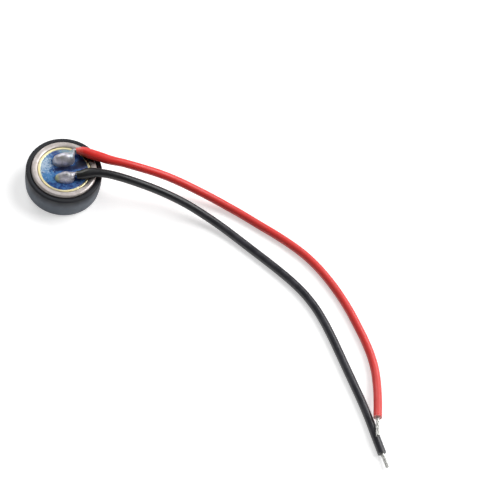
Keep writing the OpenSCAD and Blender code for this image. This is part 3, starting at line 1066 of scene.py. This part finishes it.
@dataclass
class SolderJoint:
    """A cooled drop of solder on its pad, drawn up into a neck round the lead's bare core."""

    name: str
    node: str
    core_node: str
    route: Sequence[Point]
    place: tuple[float, float]
    turn: float
    pad: tuple[float, float]
    body: Point
    tail: Point
    collar: float = 0.42
    collar_gap: float = 0.27
    neck: float = 0.85
    neck_sink: float = 0.6
    core: float = 0.33
    core_sides: int = 10
    core_step: float = 0.05
    overlap: float = 0.03
    grain: float = 0.025
    softness: int = 50
    lumps: float = 0.6
    lump_depth: float = 0.012

    def at(self, along: float, height: float = 0.0) -> Vector:
        """Place at a distance along the joint's heading from its pad's middle, over the foil.

        Args:
            along: the distance.
            height: how far over the foil.

        Returns:
            The place.
        """
        angle = math.radians(self.turn)
        foot = box_mm("ground_foil")[1].z
        x, y = self.place
        return Vector((x + along * math.cos(angle), y + along * math.sin(angle), foot + height))

    def slot(self, margin: float, base: float, depth: float) -> Piece:
        """Makes a slot-shaped block round the joint's foot.

        Args:
            margin: how far it stands outside the foot.
            base: height of its lower face.
            depth: its height.

        Returns:
            The block.
        """
        deselect_all()
        length, width = self.pad
        bpy.ops.mesh.primitive_cylinder_add(
            vertices=64, radius=width / 2 + margin, depth=depth, location=(*self.at(0).xy, base + depth / 2),
            rotation=(0, 0, math.radians(self.turn)))
        block = bpy.context.object
        with editing(block):
            for way in (1, -1):
                select_where(lambda place: way * place.x > TINY)
                bpy.ops.transform.translate(value=(way * (length - width) / 2, 0, 0), orient_type="LOCAL")
        return block

    def collar_place(self) -> Vector:
        """Middle of the solder drawn up round the core, in front of the insulation."""
        start = Vector(self.route[0])
        return start - (Vector(self.route[1]) - start).normalized() * self.collar_gap

    def core_line(self) -> list[Vector]:
        """Lays the bare core from inside the drop to the mouth of the insulation.

        Returns:
            Points along its middle.
        """
        start = Vector(self.route[0])
        ahead = (Vector(self.route[1]) - start).normalized()
        inside = self.at(self.pad[0] / 4, self.body[2] / 2)
        return smooth_route([inside, self.collar_place(), start + ahead * self.core / 3], self.core_step)

    def ball(self, middle: Vector, size: Point) -> Piece:
        """Adds one ellipsoid of the drop, turned to the joint's heading.

        Args:
            middle: its centre.
            size: its length, its width and how far it rises over its centre.

        Returns:
            The ellipsoid.
        """
        deselect_all()
        bpy.ops.mesh.primitive_uv_sphere_add(
            segments=48, ring_count=24, radius=1, location=middle, rotation=(0, 0, math.radians(self.turn)),
            scale=(size[0] / 2, size[1] / 2, size[2]))
        bpy.ops.object.transform_apply(location=True, rotation=True, scale=True)
        return bpy.context.object

    def wrap(self, balls: Sequence[Piece], name: str) -> Piece:
        """Wraps a tight skin round some ellipsoids.

        Args:
            balls: the ellipsoids.
            name: the wrapped piece's name.

        Returns:
            The skin as one piece.
        """
        skin = join(balls, name)
        with editing(skin):
            bpy.ops.mesh.convex_hull()
        return skin

    def drop(self) -> Piece:
        """Runs the drop and the neck round the core together and cuts them off at the foil.

        Returns:
            The finished drop in millimetres.
        """
        reach = self.pad[0] / 2 + self.overlap
        root = self.body[2] * self.neck
        crown = reach - self.body[0] / 2
        heap = self.wrap([
            self.ball(self.at(crown), self.body),
            self.ball(self.at(self.tail[0] / 2 - reach), self.tail),
        ], f"{self.name}_heap")
        shoulder = self.at(crown + root / 2, self.body[2] - self.neck_sink * root)
        neck = self.wrap([
            self.ball(shoulder, (root, root, root / 2)),
            self.ball(self.collar_place(), (self.collar, self.collar, self.collar / 2)),
        ], f"{self.name}_neck")
        drop = join([heap, neck], f"{self.name}_drop")
        make_active(drop)
        drop.data.remesh_voxel_size = self.grain
        bpy.ops.object.voxel_remesh()
        add_modifier(drop, "SMOOTH", factor=0.5, iterations=self.softness)
        roughen(drop, self.lumps, self.lump_depth, self.turn)
        with editing(drop):
            bpy.ops.mesh.bisect(plane_co=self.at(0), plane_no=(0, 0, 1), use_fill=True, clear_inner=True)
        return drop

    def build(self) -> None:
        """Makes the drop and the bare core that it holds."""
        finish_piece(self.drop(), SOLDER, self.node, angle=60)
        core = sweep(f"{self.name}_core", self.core_line(), self.core / 2, self.core_sides)
        finish_piece(core, TIN, self.core_node, angle=60)


@dataclass
class BoardFace:
    """The wired face of the board: the blue mask with its two openings and the gilt ring round it."""

    joints: Sequence[SolderJoint]
    mask_thickness: float = 0.022
    ring_inner: float = 2.185
    ring_outer: float = 2.405
    ring_rise: float = 0.055
    inner_edge: float = 0.044
    outer_edge: float = 0.0495
    opening_margin: float = -0.03
    cut_depth: float = 2.0

    def ring(self, foil: float) -> Piece:
        """Turns the gilt ring, its two edges rounded.

        Args:
            foil: height of the foil that it lies on.

        Returns:
            The ring in millimetres.
        """
        top = foil + self.ring_rise
        return turn("gilt_ring", (
            Corner(self.ring_inner, foil),
            Corner(self.ring_outer, foil),
            Corner(self.ring_outer, top, self.outer_edge, 5),
            Corner(self.ring_inner, top, self.inner_edge, 5),
        ))

    def mask(self, foil: float) -> Piece:
        """Models the mask, open round the joints.

        Args:
            foil: height of the foil that it lies on.

        Returns:
            The mask in millimetres.
        """
        deselect_all()
        bpy.ops.mesh.primitive_cylinder_add(
            vertices=ROUND_STEPS, radius=self.ring_inner, depth=self.mask_thickness,
            location=(0, 0, foil + self.mask_thickness / 2))
        mask = bpy.context.object
        with editing(mask):
            select_where(lambda place: place.z > 0, "FACE")
            bpy.ops.mesh.bevel(offset=self.mask_thickness / 2, segments=2, affect="EDGES")
        for joint in self.joints:
            cutter = joint.slot(self.opening_margin, foil - self.cut_depth / 2, self.cut_depth)
            add_modifier(mask, "BOOLEAN", operation="DIFFERENCE", object=cutter, solver="EXACT")
            bpy.data.objects.remove(cutter)
        mask.name = mask.data.name = "solder_mask"
        return mask

    def build(self) -> None:
        """Makes the ring and the mask."""
        foil = box_mm("ground_foil")[1].z
        finish_piece(self.ring(foil), GILT, angle=60)
        finish_piece(self.mask(foil), MASK)


@dataclass
class InnerParts:
    """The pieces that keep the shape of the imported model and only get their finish."""

    finishes: dict[str, Finish] = field(default_factory=lambda: {
        "dust_cloth": FELT,
        "polar_ring": BRASS,
        "diaphragm": FILM,
        "spacer_ring": RING_PLASTIC,
        "back_plate": BRASS,
        "chamber_ring": RING_PLASTIC,
        "gate_ring": BRASS,
        "circuit_board": BOARD_EDGE,
        # The ground foil's dark brown is painted shade for the groove between the ring and the rim.
        "ground_foil": GROOVE_SHADE_COPPER,
        "output_pad": GILT,
        "inner_foil": GILT,
        "jfet_body": CHIP_BLACK,
        "jfet_legs": TIN,
        "large_capacitor": CHIP_CERAMIC,
        "large_capacitor_ends": TIN,
        "small_capacitor": CHIP_CERAMIC,
        "small_capacitor_ends": TIN,
    })

    def build(self) -> None:
        """Dresses each piece in its finish."""
        for name, finish in self.finishes.items():
            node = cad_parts[name]
            node.data.materials.clear()
            node.data.materials.append(finish.material())
            LOG.info("%s: %s", name, finish.name)


# ---------------------------------------------------------------- build


def main() -> None:
    """Builds the studio and the part, piece by piece."""
    logging.basicConfig(level=logging.INFO, format="%(name)s: %(message)s")
    Studio().build()
    Lead("red", RED_ROUTE, RED_PVC, length=0.0420, swellings=(
        Swelling(along=2.4, size=(1, 1.2, 1.05), sag=(0, -0.15, 0), reach=2.1),
        Swelling(along=1.2, size=(1, 1.15, 1.05), sag=(0, -0.16, 0), reach=1.2),
        Swelling(along=0, size=(1, 0.7, 0.7), sag=(0, 0, 0), reach=0.7),
    )).build()
    Lead("black", BLACK_ROUTE, BLACK_PVC, length=0.0417, swellings=(
        Swelling(along=0.9, size=(1, 1.4, 1.1), sag=(0, -0.1, 0), reach=1.6),
        Swelling(along=0, size=(1, 0.7, 0.7), sag=(0, 0, 0), reach=0.6),
    )).build()
    joints = [
        SolderJoint(
            "output", "output_solder", "red_core_root", RED_ROUTE, place=(-0.278, 0.908), turn=27.0,
            pad=(2.05, 1.25), body=(1.95, 1.3, 1.02), tail=(1.14, 1.14, 0.88)),
        SolderJoint(
            "ground", "ground_solder", "black_core_root", BLACK_ROUTE, place=(0.278, -0.908), turn=15.0,
            pad=(1.75, 1.06), body=(1.6, 1.14, 0.9), tail=(0.86, 0.86, 0.56)),
    ]
    for piece in (RubberBoot(), CaseCan(), BoardFace(joints), *joints, InnerParts()):
        piece.build()


if __name__ == "__main__":
    main()
